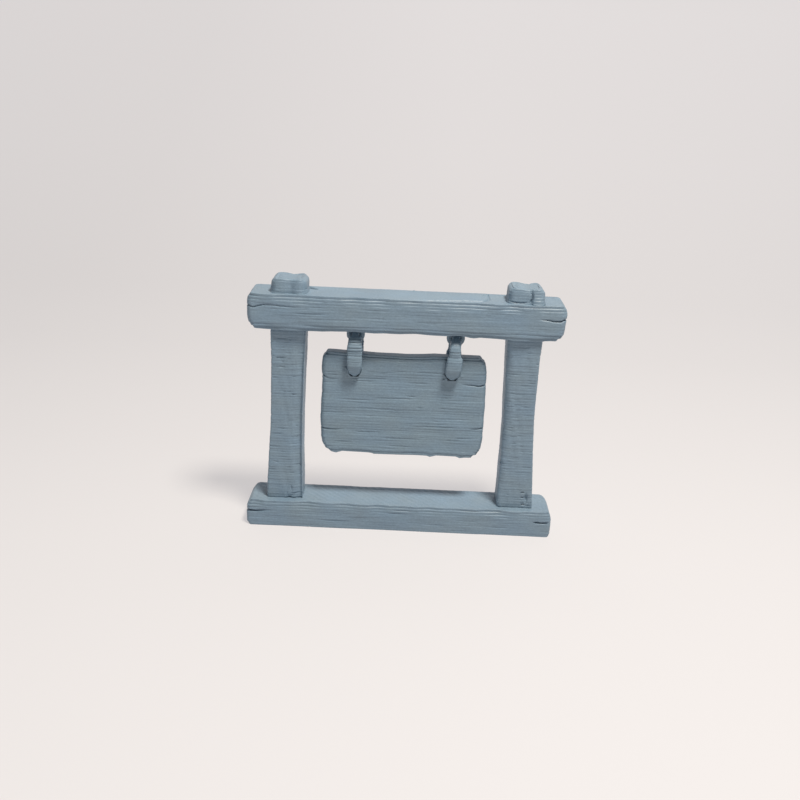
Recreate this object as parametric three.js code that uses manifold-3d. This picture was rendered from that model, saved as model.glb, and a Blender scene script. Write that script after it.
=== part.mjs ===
// A miniature hanging sign: two waisted posts stand in a base rail and carry a top beam,
// and a plain board hangs under the beam on two closed links. Millimetres, +Z up.
// The origin is the middle of the base rail's underside, +X runs to the sign's right and
// -Y is the front.
import * as THREE from "three";
import { mergeVertices } from "three/addons/utils/BufferGeometryUtils.js";
import Module from "manifold-3d";

const wasm = await Module();
wasm.setup();

// Base rail
const baseLength = 23.0;
const baseDepth = 3.26;
const baseHeight = 2.07;
const baseCornerRadius = 0.34;
const baseEdgeRadius = 0.14;

// Posts: each stands on the rail with a stub tenon and runs up through the beam
const postInset = 3.04; // rail end to the middle of the post's head
const postHeight = 13.46; // rail top to beam underside
const postHeadWidth = 2.56;
const postDepth = 1.89;
const postChamfer = 0.2;
const stubLength = 0.9;
const stubInset = 0.4;
const tenonShoulder = 0.09;
const knobHeight = 1.06; // how far the post's end stands above the beam
const knobRounding = 0.26;
const grooveWidth = 0.36;
const grooveDepth = 0.16;

// Top beam
const beamOverhang = 2.78; // middle of a post's head to the beam's end
const beamDepth = 3.04;
const beamHeight = 2.54;
const beamShift = -0.06; // the beam and the sign sit a little left of the rail's middle
const beamPlanRadius = 0.42;
const beamLowerRadius = 0.5;
const beamUpperRadius = 0.2;

// Staples: U-shaped eyes driven into the beam's underside
const stapleWire = 0.28; // leg width, along X
const stapleBar = 0.36; // thickness of the crossbar, along Y and Z
const stapleDriven = 0.8; // how far the legs enter the beam
const stapleCornerRadius = 0.4;

// Links: closed loops that hang on the staples and pass through the board
const linkWidth = 1.12;
const linkThickness = 0.45;
const linkInnerHeight = 2.59;
const linkArchWidth = 0.6; // width of the top bend, inside the staple
const linkBevel = 0.09;
const linkBoardGap = 0.225; // link's inner face to the board's face

// Sign board
const boardPostGap = 1.12; // board edge to the inner side of a post's head
const boardHeight = 7.83;
const boardThickness = 1.05;
const boardBridge = 1.14; // material above the link's hole
const boardTopSag = 0.12;
const boardEdgeBevel = 0.07;
const boardRadiusTopLeft = 0.5;
const boardRadiusTopRight = 0.75;
const boardRadiusBottomRight = 0.9;
const boardRadiusBottomLeft = 0.95;
const hangerInset = 2.43; // board edge to the middle of a link

// Clearances
const joineryPlay = 0.05; // between a tenon or leg and its hole, on each side
const hangPlay = 0.08; // between a link and what it hangs on or carries
const stapleSidePlay = 0.09; // between the link's top bend and a staple leg
const archHeadroom = 0.2; // between the link's top bend and the beam
const overrun = 0.5; // how far a cutting solid runs past the face that it cuts
const weldDistance = 0.00001; // vertices closer than this are one

// Shapes shared by both posts: height share from rail to beam, then the distance from the
// head's middle to the outer and inner sides as shares of the head's half width
const postShares = [
  [0.0, 1.3, 0.82],
  [0.12, 1.26, 0.81],
  [0.3, 1.13, 0.79],
  [0.5, 1.01, 0.8],
  [0.7, 0.96, 0.86],
  [0.86, 0.965, 0.93],
  [1.0, 1.0, 1.0],
];
// The groove on each knob, as a share of the knob's width from its left side
const leftGrooveShare = 0.48;
const rightGrooveShare = 0.62;

// Front outline of each link: height share of the whole link from the top bend down, then
// the half width as a share of the link's half width below the top bend
const leftLinkShares = [
  [0.22, 0.86],
  [0.3, 0.93],
  [0.52, 1.0],
  [0.68, 1.0],
  [0.8, 0.87],
  [0.89, 0.66],
  [0.96, 0.4],
  [1.0, 0.2],
];
const rightLinkShares = [
  [0.22, 0.84],
  [0.3, 0.86],
  [0.45, 0.84],
  [0.51, 1.0],
  [0.66, 0.95],
  [0.8, 0.83],
  [0.89, 0.62],
  [0.96, 0.38],
  [1.0, 0.2],
];
const archShare = 0.13; // height share of the link that stays as narrow as its top bend

// Colours of the printed plastic
const timberColour = 0x77898f;
const boardColour = 0x788a94;
const ironColour = 0x73858e;
const plasticRoughness = 0.55;

// Places worked out from the sizes above
const postX = baseLength / 2 - postInset;
const beamUnderside = baseHeight + postHeight;
const beamLength = 2 * (postX + beamOverhang);
const tenonWidth = postHeadWidth - 2 * tenonShoulder;
const stapleInner = linkArchWidth + 2 * stapleSidePlay;
const stapleWidth = stapleInner + 2 * stapleWire;
const stapleEdge = stapleWire / 4; // bevel along the staple's edges
const barZ =
  beamUnderside - archHeadroom - linkThickness - hangPlay - stapleBar / 2;
const linkInnerDepth = boardThickness + 2 * linkBoardGap;
const linkOuterRadius = linkInnerDepth / 2 + linkThickness;
const linkOuterHeight = linkInnerHeight + 2 * linkThickness;
const linkInnerTop = stapleBar / 2 + hangPlay; // above the crossbar's middle
const linkTop = linkInnerTop + linkThickness;
// The board rocks about the middle of the link's lower bend
const rockDrop = linkInnerHeight - linkInnerTop - linkInnerDepth / 2;
const rockZ = barZ - rockDrop;
const holeTop =
  rockZ -
  Math.sqrt((linkInnerDepth / 2) ** 2 - (boardThickness / 2) ** 2) +
  hangPlay;
const holeBottom = rockZ - linkOuterRadius - hangPlay;
const boardTop = holeTop + boardBridge;
const boardWidth = 2 * (postX - postHeadWidth / 2 - boardPostGap);
const hangerX = boardWidth / 2 - hangerInset;

const material = (colour) =>
  new THREE.MeshStandardMaterial({
    color: colour,
    roughness: plasticRoughness,
    metalness: 0,
  });
const timber = material(timberColour);
const boardFinish = material(boardColour);
const iron = material(ironColour);

// A closed three.js geometry as a solid that can be cut and joined
function solidOf(geometry) {
  const bare = geometry.clone();
  bare.deleteAttribute("normal");
  bare.deleteAttribute("uv");
  const merged = mergeVertices(bare, weldDistance);
  return new wasm.Manifold(
    new wasm.Mesh({
      numProp: 3,
      vertProperties: merged.attributes.position.array,
      triVerts: new Uint32Array(merged.index.array),
    }),
  );
}

function geometryOf(solid) {
  const { vertProperties, triVerts } = solid.getMesh();
  const geometry = new THREE.BufferGeometry();
  geometry.setAttribute(
    "position",
    new THREE.BufferAttribute(new Float32Array(vertProperties), 3),
  );
  geometry.setIndex(new THREE.BufferAttribute(new Uint32Array(triVerts), 1));
  geometry.computeVertexNormals();
  return geometry;
}

function meshOf(name, solid, finish) {
  const mesh = new THREE.Mesh(geometryOf(solid), finish);
  mesh.name = name;
  return mesh;
}

// A closed outline through corners [x, y, radius], each corner rounded by its radius
function roundedShape(corners) {
  const points = corners.map(([x, y]) => new THREE.Vector2(x, y));
  const shape = new THREE.Shape();
  points.forEach((corner, i) => {
    const before = points.at(i - 1);
    const after = points[(i + 1) % points.length];
    const radius = corners[i][2];
    const start = before.clone().sub(corner).setLength(radius).add(corner);
    const end = after.clone().sub(corner).setLength(radius).add(corner);
    if (i === 0) shape.moveTo(start.x, start.y);
    else shape.lineTo(start.x, start.y);
    if (radius > 0) shape.quadraticCurveTo(corner.x, corner.y, end.x, end.y);
  });
  shape.closePath();
  return shape;
}

// Extrudes a shape by a length centred on zero, with its rim bevelled inside that length
function extruded(shape, length, bevel = 0, curveSegments = 4) {
  const geometry = new THREE.ExtrudeGeometry(shape, {
    depth: length - 2 * bevel,
    bevelEnabled: bevel > 0,
    bevelThickness: bevel,
    bevelSize: bevel,
    bevelOffset: -bevel,
    bevelSegments: 1,
    curveSegments,
  });
  geometry.translate(0, 0, bevel - length / 2);
  return geometry;
}

// The shape's x and y become X and Z, and it is extruded along Y
function alongY(shape, length, bevel, curveSegments) {
  return solidOf(
    extruded(shape, length, bevel, curveSegments).rotateX(Math.PI / 2),
  );
}

// The shape's x and y become X and Y, and it is extruded along Z from zero up
function alongZ(shape, length) {
  return solidOf(extruded(shape, length).translate(0, 0, length / 2));
}

// The shape's x and y become Y and Z, and it is extruded along X
function alongX(shape, length, bevel, curveSegments) {
  const turn = new THREE.Matrix4().makeBasis(
    new THREE.Vector3(0, 1, 0),
    new THREE.Vector3(0, 0, 1),
    new THREE.Vector3(1, 0, 0),
  );
  return solidOf(
    extruded(shape, length, bevel, curveSegments).applyMatrix4(turn),
  );
}

// A rectangle with cut corners, as plan points that run anticlockwise
function cutRectangle(left, right, halfDepth, cut) {
  return [
    [left + cut, -halfDepth],
    [right - cut, -halfDepth],
    [right, -halfDepth + cut],
    [right, halfDepth - cut],
    [right - cut, halfDepth],
    [left + cut, halfDepth],
    [left, halfDepth - cut],
    [left, -halfDepth + cut],
  ];
}

// A closed solid through plan rings of equal count, each [height, points]
function loft(rings) {
  const count = rings[0][1].length;
  const positions = rings.flatMap(([z, points]) =>
    points.flatMap(([x, y]) => [x, y, z]),
  );
  const index = [];
  for (let ring = 0; ring + 1 < rings.length; ring++)
    for (let i = 0; i < count; i++) {
      const a = ring * count + i;
      const b = ring * count + ((i + 1) % count);
      index.push(a, b, b + count, a, b + count, a + count);
    }
  const last = (rings.length - 1) * count;
  for (let i = 1; i + 1 < count; i++) {
    index.push(0, i + 1, i);
    index.push(last, last + i, last + i + 1);
  }
  const geometry = new THREE.BufferGeometry();
  geometry.setAttribute(
    "position",
    new THREE.Float32BufferAttribute(positions, 3),
  );
  geometry.setIndex(index);
  return solidOf(geometry);
}

// Plan points of a post's tenon, from the head's middle, grown by a clearance
function tenonPlan(play = 0) {
  const half = tenonWidth / 2 + play;
  return cutRectangle(-half, half, postDepth / 2 + play, postChamfer);
}

// Plan points of the stub at a post's foot, grown by a clearance
function stubPlan(side, play = 0) {
  const [, outerShare, innerShare] = postShares[0];
  const outer = (outerShare * postHeadWidth) / 2 - stubInset + play;
  const inner = (innerShare * postHeadWidth) / 2 - stubInset + play;
  const [left, right] = side < 0 ? [-outer, inner] : [-inner, outer];
  return cutRectangle(left, right, postDepth / 2 - stubInset + play, postChamfer);
}

function shapeOf(points) {
  return new THREE.Shape(points.map(([x, y]) => new THREE.Vector2(x, y)));
}

// A V-shaped cutter, extruded along Z, whose point looks along +Y
function grooveShape(width, depth) {
  return shapeOf([
    [-width / 2 - overrun, -overrun],
    [width / 2 + overrun, -overrun],
    [width / 2, 0],
    [0, depth],
    [-width / 2, 0],
  ]);
}

// A post from its foot on the rail, which is at height zero, to its knob
function postSolid(side, grooveShare) {
  const half = postHeadWidth / 2;
  const body = postShares.map(([heightShare, outerShare, innerShare]) => {
    const outer = outerShare * half;
    const inner = innerShare * half;
    const [left, right] = side < 0 ? [-outer, inner] : [-inner, outer];
    const plan = cutRectangle(left, right, postDepth / 2, postChamfer);
    return [heightShare * postHeight, plan];
  });
  const knobTop = postHeight + beamHeight + knobHeight;
  const crown = tenonPlan(-knobRounding);
  const shape = loft([
    [-stubLength, stubPlan(side)],
    [0, stubPlan(side)],
    ...body,
    [postHeight, tenonPlan()],
    [knobTop - knobRounding, tenonPlan()],
    [knobTop, crown],
  ]);
  const grooveX = (grooveShare - 1 / 2) * tenonWidth;
  const front = alongZ(grooveShape(grooveWidth, grooveDepth), knobHeight + overrun)
    .translate(grooveX, -postDepth / 2, postHeight + beamHeight);
  const top = alongY(
    shapeOf([
      [-grooveWidth, overrun],
      [-grooveWidth, 0],
      [0, -grooveDepth],
      [grooveWidth, 0],
      [grooveWidth, overrun],
    ]),
    postDepth + 2 * overrun,
  ).translate(grooveX, 0, knobTop);
  return shape.subtract(front).subtract(top);
}

// A timber bar whose front outline and plan outline are both rounded, standing on zero
function timberBar(length, depth, height, lowerRadius, upperRadius, planRadius) {
  const half = length / 2;
  const front = alongY(
    roundedShape([
      [-half, 0, lowerRadius],
      [half, 0, lowerRadius],
      [half, height, upperRadius],
      [-half, height, upperRadius],
    ]),
    depth,
  );
  const plan = alongZ(
    roundedShape([
      [-half, -depth / 2, planRadius],
      [half, -depth / 2, planRadius],
      [half, depth / 2, planRadius],
      [-half, depth / 2, planRadius],
    ]),
    height,
  );
  return front.intersect(plan);
}

function baseSolid() {
  let rail = timberBar(
    baseLength,
    baseDepth,
    baseHeight,
    baseEdgeRadius,
    baseEdgeRadius,
    baseCornerRadius,
  );
  const depth = stubLength + joineryPlay;
  for (const side of [-1, 1]) {
    const socket = alongZ(shapeOf(stubPlan(side, joineryPlay)), depth + overrun);
    rail = rail.subtract(
      socket.translate(side * postX, 0, baseHeight - depth),
    );
  }
  return rail;
}

// The beam from its underside, which is at height zero, with its middle at beamShift
function beamSolid() {
  let beam = timberBar(
    beamLength,
    beamDepth,
    beamHeight,
    beamLowerRadius,
    beamUpperRadius,
    beamPlanRadius,
  );
  for (const side of [-1, 1]) {
    const mortise = alongZ(
      shapeOf(tenonPlan(joineryPlay)),
      beamHeight + 2 * overrun,
    );
    beam = beam.subtract(
      mortise.translate(side * postX - beamShift, 0, -overrun),
    );
    const legX = (stapleInner + stapleWire) / 2;
    for (const leg of [-1, 1]) {
      const half = stapleWire / 2 + joineryPlay;
      const hole = alongZ(
        shapeOf(cutRectangle(-half, half, stapleBar / 2 + joineryPlay, stapleEdge)),
        stapleDriven + joineryPlay + overrun,
      );
      beam = beam.subtract(
        hole.translate(side * hangerX + leg * legX, 0, -overrun),
      );
    }
  }
  return beam;
}

// A staple about the middle of its crossbar
function stapleSolid() {
  const outer = stapleWidth / 2;
  const inner = stapleInner / 2;
  const low = -stapleBar / 2;
  const high = beamUnderside - barZ + stapleDriven;
  const innerRadius = Math.max(stapleCornerRadius - stapleWire, stapleEdge);
  return alongY(
    roundedShape([
      [-outer, high, 0],
      [-outer, low, stapleCornerRadius],
      [outer, low, stapleCornerRadius],
      [outer, high, 0],
      [inner, high, 0],
      [inner, -low, innerRadius],
      [-inner, -low, innerRadius],
      [-inner, high, 0],
    ]),
    stapleBar,
    stapleEdge,
  );
}

// Half the width of a link at a height share below its top, from its list of shares
function linkHalfWidth(shares, heightShare) {
  const rows = [
    [0, linkArchWidth / 2],
    [archShare, linkArchWidth / 2],
    ...shares.map(([at, widthShare]) => [at, (widthShare * linkWidth) / 2]),
  ];
  const next = rows.findIndex(([at]) => at >= heightShare);
  if (next <= 0) return rows.at(next < 0 ? -1 : 0)[1];
  const [atA, halfA] = rows[next - 1];
  const [atB, halfB] = rows[next];
  return THREE.MathUtils.mapLinear(heightShare, atA, atB, halfA, halfB);
}

// The link's outline in the YZ plane, as a loop with round ends, or the hole inside it
function linkLoop(radius, top, bottom) {
  const loop = new THREE.Shape();
  loop.absarc(0, top - radius, radius, 0, Math.PI, false);
  loop.absarc(0, bottom + radius, radius, Math.PI, 2 * Math.PI, false);
  loop.closePath();
  return loop;
}

// A link about the middle of the crossbar that it hangs on
function linkSolid(shares) {
  const loop = linkLoop(linkOuterRadius, linkTop, linkTop - linkOuterHeight);
  loop.holes.push(
    linkLoop(linkInnerDepth / 2, linkInnerTop, linkInnerTop - linkInnerHeight),
  );
  const ring = alongX(loop, linkWidth, linkBevel, 10);
  const heights = [0, archShare, ...shares.map(([at]) => at)];
  const right = heights.map((at) => [
    linkHalfWidth(shares, at),
    linkTop - at * linkOuterHeight,
  ]);
  const left = right.map(([x, z]) => [-x, z]).reverse();
  const front = alongY(
    shapeOf([...right.reverse(), ...left.reverse()]),
    2 * (linkOuterRadius + overrun),
  );
  return ring.intersect(front);
}

// The hole in the board that a link's lower bend passes through, from the board's top
function linkHole(shares) {
  const steps = 4;
  const side = Array.from({ length: steps + 1 }, (_, i) => {
    const z = THREE.MathUtils.lerp(holeBottom, holeTop, i / steps);
    const heightShare = (barZ + linkTop - z) / linkOuterHeight;
    const half = linkHalfWidth(shares, Math.min(heightShare, 1));
    return [half + hangPlay, z - boardTop];
  });
  const left = side.map(([x, z]) => [-x, z]).reverse();
  return alongY(shapeOf([...side, ...left]), boardThickness + 2 * overrun);
}

// The board from the middle of its top edge down
function boardSolid() {
  const half = boardWidth / 2;
  const board = alongY(
    roundedShape([
      [-half, -boardHeight, boardRadiusBottomLeft],
      [half, -boardHeight, boardRadiusBottomRight],
      [half, 0, boardRadiusTopRight],
      [0, -boardTopSag, boardRadiusTopRight],
      [-half, 0, boardRadiusTopLeft],
    ]),
    boardThickness,
    boardEdgeBevel,
  );
  return board
    .subtract(linkHole(leftLinkShares).translate(-hangerX, 0, 0))
    .subtract(linkHole(rightLinkShares).translate(hangerX, 0, 0));
}

const sign = new THREE.Group();
sign.name = "hanging_sign";
sign.add(meshOf("base_rail", baseSolid(), timber));

const posts = new THREE.Group();
posts.position.z = baseHeight;
const leftPost = meshOf("left_post", postSolid(-1, leftGrooveShare), timber);
leftPost.position.x = -postX;
const rightPost = meshOf("right_post", postSolid(1, rightGrooveShare), timber);
rightPost.position.x = postX;
posts.add(leftPost, rightPost);
sign.add(posts);

const beam = meshOf("top_beam", beamSolid(), timber);
beam.position.set(beamShift, 0, beamUnderside);
sign.add(beam);

// What hangs under the beam: a staple and a link on each side, and the board
const hung = new THREE.Group();
hung.position.x = beamShift;
for (const [name, side, shares] of [
  ["left", -1, leftLinkShares],
  ["right", 1, rightLinkShares],
]) {
  const hanger = new THREE.Group();
  hanger.position.set(side * hangerX, 0, barZ);
  hanger.add(meshOf(name + "_staple", stapleSolid(), iron));
  hanger.add(meshOf(name + "_link", linkSolid(shares), iron));
  hung.add(hanger);
}
const board = meshOf("sign_board", boardSolid(), boardFinish);
board.position.z = boardTop;
hung.add(board);
sign.add(hung);

export default sign;
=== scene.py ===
import math
from dataclasses import dataclass

import bpy
import numpy as np
from mathutils import Matrix, Vector


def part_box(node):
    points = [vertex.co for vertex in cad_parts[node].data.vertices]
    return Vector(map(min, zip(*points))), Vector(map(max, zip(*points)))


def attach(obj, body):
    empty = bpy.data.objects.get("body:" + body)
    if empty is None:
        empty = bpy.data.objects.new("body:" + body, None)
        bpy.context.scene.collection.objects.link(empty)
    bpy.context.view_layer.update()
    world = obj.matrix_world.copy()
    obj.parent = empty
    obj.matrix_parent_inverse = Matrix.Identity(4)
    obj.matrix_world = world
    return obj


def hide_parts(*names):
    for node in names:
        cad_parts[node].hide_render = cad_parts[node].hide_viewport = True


# A small printed hanging sign: two waisted timber posts in a base rail carry a top beam, and a
# plain board hangs under the beam on two links. Every piece here is the printed surface of one
# piece of the frame, built layer by layer. Sizes are in millimetres, and Blender works in metres.
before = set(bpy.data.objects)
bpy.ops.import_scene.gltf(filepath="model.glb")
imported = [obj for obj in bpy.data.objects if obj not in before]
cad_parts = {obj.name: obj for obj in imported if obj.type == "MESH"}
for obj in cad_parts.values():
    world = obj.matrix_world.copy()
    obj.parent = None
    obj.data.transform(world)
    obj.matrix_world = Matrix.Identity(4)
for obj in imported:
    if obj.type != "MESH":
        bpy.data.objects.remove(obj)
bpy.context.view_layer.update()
MM = 0.001


def box_mm(node):
    low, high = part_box(node)
    return np.array(low) / MM, np.array(high) / MM


BASE_LOW, BASE_HIGH = box_mm("base_rail")
BEAM_LOW, BEAM_HIGH = box_mm("top_beam")
BOARD_LOW, BOARD_HIGH = box_mm("sign_board")
POST_BOX, STAPLE_BOX, LINK_BOX = (
    {side: box_mm(side + "_" + kind) for side in ("left", "right")}
    for kind in ("post", "staple", "link"))

# Print settings
LAYER = 0.21
LINE_PITCH = 0.41
BEAD = ((0.04, 1.0), (0.22, 0.3), (0.5, 0.0), (0.78, 0.3), (0.96, 1.0))  # height share, recess
RIM_DROP = 0.025  # how much lower the outer line of a level face lies
STRAY_HILLS = (3.5, 0.8)  # lengths of the long and short hills by which a layer strays
SEAM_HILLS = 1.3
EDGE_HILLS = 2.5
CALM = 0.35  # how deep the seams are on the calmer part of a wall
BACK_AWAY = 40  # how far along a slow wave the back lies from the front
FACING = 0.1  # how much a wall turns to the front or back to count as one of them
BACK_RUN = 0.6  # length of an open crack along the back as a share of its length in front
TINY = 1e-9

# Posts
POST_HEAD_WIDTH = 2.56
POST_CORNER = 0.14
POST_FLARE = {"left": 0.09, "right": 0.2}  # how much further forward it stands under the beam
POST_OUTER = {"left": 0.05, "right": -0.05}  # how much wider it is on its outer side, higher up
# Distance from a post's inner side as a share of the worn edge's width, then how far the front
# stands back there
POST_INNER_EDGE = {
    "left": [[0.0, 0.0], [0.02, 0.03], [0.14, 0.2], [0.22, 0.23], [0.4, 0.16], [0.7, 0.04],
             [0.95, 0.0]],
    "right": [[0.0, 0.62], [0.02, 0.5], [0.07, 0.37], [0.15, 0.26], [0.25, 0.17], [0.36, 0.1],
              [0.5, 0.04], [0.7, 0.0]],
}
# Height share from rail to beam, then the distance from the head's middle to the outer and
# inner sides as shares of the head's half width
POST_SHARES = np.array([
    [0.0, 1.3, 0.81], [0.12, 1.26, 0.8], [0.3, 1.13, 0.78], [0.5, 1.01, 0.79],
    [0.7, 0.965, 0.86], [0.86, 0.97, 0.92], [1.0, 1.0, 0.98],
])
TENON_WIDTH = 2.38
TENON_CORNER = 0.2
STUB_INSET = 0.4
STUB_CORNER = 0.15
KNOB_WIDTH = 2.58
KNOB_DEPTH = 2.12
KNOB_CORNER = 0.48
KNOB_ROUND = 8.0  # length of the line round the knob
KNOB_FOOT = 0.12  # how deep the knob's foot is let into the beam
KNOB_STEPS = ((0.06, 0.03), (0.03, 0.02), (0.01, 0.02))

# Left and right ends of the rail, the beam and the board: height share, then how far the end
# lies inside the box
END_SHARES = {
    "base_rail": [
        [[0.0, 0.1], [0.05, -0.02], [0.12, -0.12], [0.5, -0.13], [0.75, -0.1], [0.87, 0.0],
         [0.95, 0.1], [1.0, 0.2]],
        [[0.0, 0.03], [0.05, -0.06], [0.12, -0.1], [0.45, -0.12], [0.7, -0.1], [0.86, -0.03],
         [0.95, 0.04], [1.0, 0.12]],
    ],
    "top_beam": [
        [[0.0, 0.42], [0.05, 0.3], [0.1, 0.18], [0.18, 0.03], [0.28, -0.05], [0.4, -0.07],
         [0.7, -0.07], [0.86, -0.05], [0.94, 0.04], [1.0, 0.16]],
        [[0.0, 0.6], [0.05, 0.36], [0.12, 0.14], [0.19, 0.04], [0.33, -0.01], [0.5, -0.02],
         [0.57, -0.05], [0.75, -0.08], [0.86, -0.05], [0.94, 0.05], [1.0, 0.2]],
    ],
    "sign_board": [
        [[0.0, 0.7], [0.02, 0.44], [0.05, 0.22], [0.09, 0.07], [0.15, -0.01], [0.36, -0.06],
         [0.43, -0.05], [0.6, 0.04], [0.82, 0.01], [0.9, 0.03], [0.94, 0.06], [0.97, 0.13],
         [1.0, 0.28]],
        [[0.0, 0.74], [0.02, 0.43], [0.05, 0.19], [0.09, 0.06], [0.2, -0.05], [0.42, -0.05],
         [0.66, -0.01], [0.86, 0.03], [0.91, 0.07], [0.94, 0.12], [0.97, 0.22], [1.0, 0.42]],
    ],
}


def soft_step(share):
    share = np.clip(share, 0, 1)
    return share * share * (3 - 2 * share)


def look_up(table, where):
    """A table's second column at a place in its first one."""
    return np.interp(where, *np.array(table).T)


def bump(distance, reach):
    """1 in the middle, falling softly to 0 at a distance of reach."""
    return soft_step(1 - np.abs(distance) / reach)


def slow_wave(where, length, seed):
    """A smooth wave from -1 to 1 along a line, with hills about a length apart."""
    phases = np.random.default_rng(seed).uniform(0, 2 * math.pi, 3)
    lean = 0.1 * math.sin(seed)
    parts = [lean + np.sin(where * 2 * math.pi / (length * stretch) + phase)
             for stretch, phase in zip((1.0, 1.7, 0.62), phases)]
    return np.clip(sum(parts) / 2, -1, 1)


def ring_noise(rng, layers, count, stations):
    """Random values from -1 to 1 for each layer, smooth along its closed line of points."""
    stations = max(4, int(stations))
    coarse = rng.uniform(-1, 1, (layers, stations))
    where = np.arange(count) / count * stations
    before = np.floor(where).astype(int)
    share = soft_step(where - before)
    return coarse[:, before] * (1 - share) + coarse[:, (before + 1) % stations] * share


def ring_places(columns, rows):
    """Points on the rim of a unit square, anticlockwise from its front left corner."""
    along = np.arange(columns) / columns
    across = np.arange(rows) / rows
    return np.concatenate([
        np.column_stack([along, 0 * along]),
        np.column_stack([1 + 0 * across, across]),
        np.column_stack([1 - along, 1 + 0 * along]),
        np.column_stack([0 * across, 1 - across]),
    ])


def rounded_plan(places, low, high, radius):
    """A rectangle's rim in plan, with round corners."""
    low, high = np.array(low), np.array(high)
    points = low + places * (high - low)
    core = np.clip(points, low + radius, high - radius)
    reach = points - core
    length = np.maximum(np.linalg.norm(reach, axis=1, keepdims=True), TINY)
    return core + reach / length * np.minimum(length, radius)


def round_back(ring, side, back, reach_x, reach_y):
    """Rounds the back corner of a ring on one side, over a reach along each axis."""
    end = np.max(side * ring[:, 0])
    u = (side * ring[:, 0] - end + reach_x) / reach_x
    v = (ring[:, 1] - back + reach_y) / reach_y
    corner = (u > 0) & (v > 0)
    spare = np.where(corner, 1 / np.maximum(np.hypot(u, v), 1) - 1, 0)
    return ring + np.column_stack([side * spare * u * reach_x, spare * v * reach_y])


def outward(ring):
    """Unit vectors that point out of a ring that runs anticlockwise."""
    along = np.roll(ring, -1, axis=0) - np.roll(ring, 1, axis=0)
    across = np.column_stack([along[:, 1], -along[:, 0]])
    return across / np.maximum(np.linalg.norm(across, axis=1, keepdims=True), TINY)


def cap_inside(ring, rim):
    """Plan points inside a ring, row by row, blended from its four sides. rim is a grid that
    holds the numbers of the ring's points on its rim."""
    front, back, left, right = (ring[side] for side in (rim[0], rim[-1], rim[:, 0], rim[:, -1]))
    u = (np.arange(1, len(front) - 1) / (len(front) - 1))[None, :, None]
    v = (np.arange(1, len(left) - 1) / (len(left) - 1))[:, None, None]
    between = (1 - v) * front[None, 1:-1] + v * back[None, 1:-1]
    across = (1 - u) * left[1:-1, None] + u * right[1:-1, None]
    corners = ((1 - u) * (1 - v) * front[0] + u * (1 - v) * front[-1]
               + (1 - u) * v * back[0] + u * v * back[-1])
    return (between + across - corners).reshape(-1, 2)


def cap_grid(columns, rows, first_of_ring, first_inside):
    """Vertex numbers of a cap as a grid, with the ring on its rim."""
    grid = np.zeros((rows + 1, columns + 1), int)
    grid[0, :] = np.arange(columns + 1)
    grid[:, -1] = columns + np.arange(rows + 1)
    grid[-1, ::-1] = columns + rows + np.arange(columns + 1)
    grid[:0:-1, 0] = 2 * columns + rows + np.arange(rows)
    grid += first_of_ring
    inside = np.arange((columns - 1) * (rows - 1)).reshape(rows - 1, columns - 1)
    grid[1:-1, 1:-1] = first_inside + inside
    return grid


def grid_faces(grid):
    return np.stack([grid[:-1, :-1], grid[:-1, 1:], grid[1:, 1:], grid[1:, :-1]], -1).reshape(-1, 4)


def new_object(name, data):
    thing = bpy.data.objects.new(name, data)
    bpy.context.scene.collection.objects.link(thing)
    return thing


def mesh_piece(name, points, faces, material):
    """A smooth-shaded object from points in millimetres."""
    mesh = bpy.data.meshes.new(name)
    mesh.from_pydata((points * MM).tolist(), [], faces)
    mesh.validate()
    mesh.polygons.foreach_set("use_smooth", [True] * len(mesh.polygons))
    mesh.materials.append(material)
    mesh.update()
    return new_object(name, mesh)


def layer_spans(levels):
    """Bottom and top of each layer, with whole layers between each two of the given levels."""
    spans = []
    for low, high in zip(levels, levels[1:]):
        cuts = np.linspace(low, high, max(1, round((high - low) / LAYER)) + 1)
        spans += list(zip(cuts, cuts[1:]))
    return np.array(spans)


@dataclass
class Finish:
    """How rough a printed wall is."""
    seam: float  # depth of every seam between layers
    wander: float  # how far a layer strays
    strokes: float  # badly bonded stretches per millimetre of seam
    longest: float  # their greatest length
    deepest: float  # their greatest depth
    stepped: float = 1.0  # 1 where a layer's front keeps one outline, 0 where it follows the slope
    calm_from: float = math.inf  # height above which the wall is calmer
    edge: tuple = (0, 0.0)  # how many seams under the top are deeper, and by how much

    def stretches(self, rng, seams, count, step):
        """Depth of the badly bonded stretches at each point of each seam."""
        total = count * step
        where = np.arange(count) * step
        depth = np.zeros((seams, count))
        for row in depth:
            for _ in range(rng.poisson(total * self.strokes)):
                half = self.longest / 2 * rng.uniform(0.25, 1) ** 1.5
                deep = self.deepest * rng.uniform(0.3, 1) ** 1.5
                gap = np.abs((where - rng.uniform(0, total)) % total - total / 2)
                taper = np.clip((half - gap) / min(half, 0.5), 0, 1)
                np.maximum(row, deep * taper, out=row)
        return depth


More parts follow.
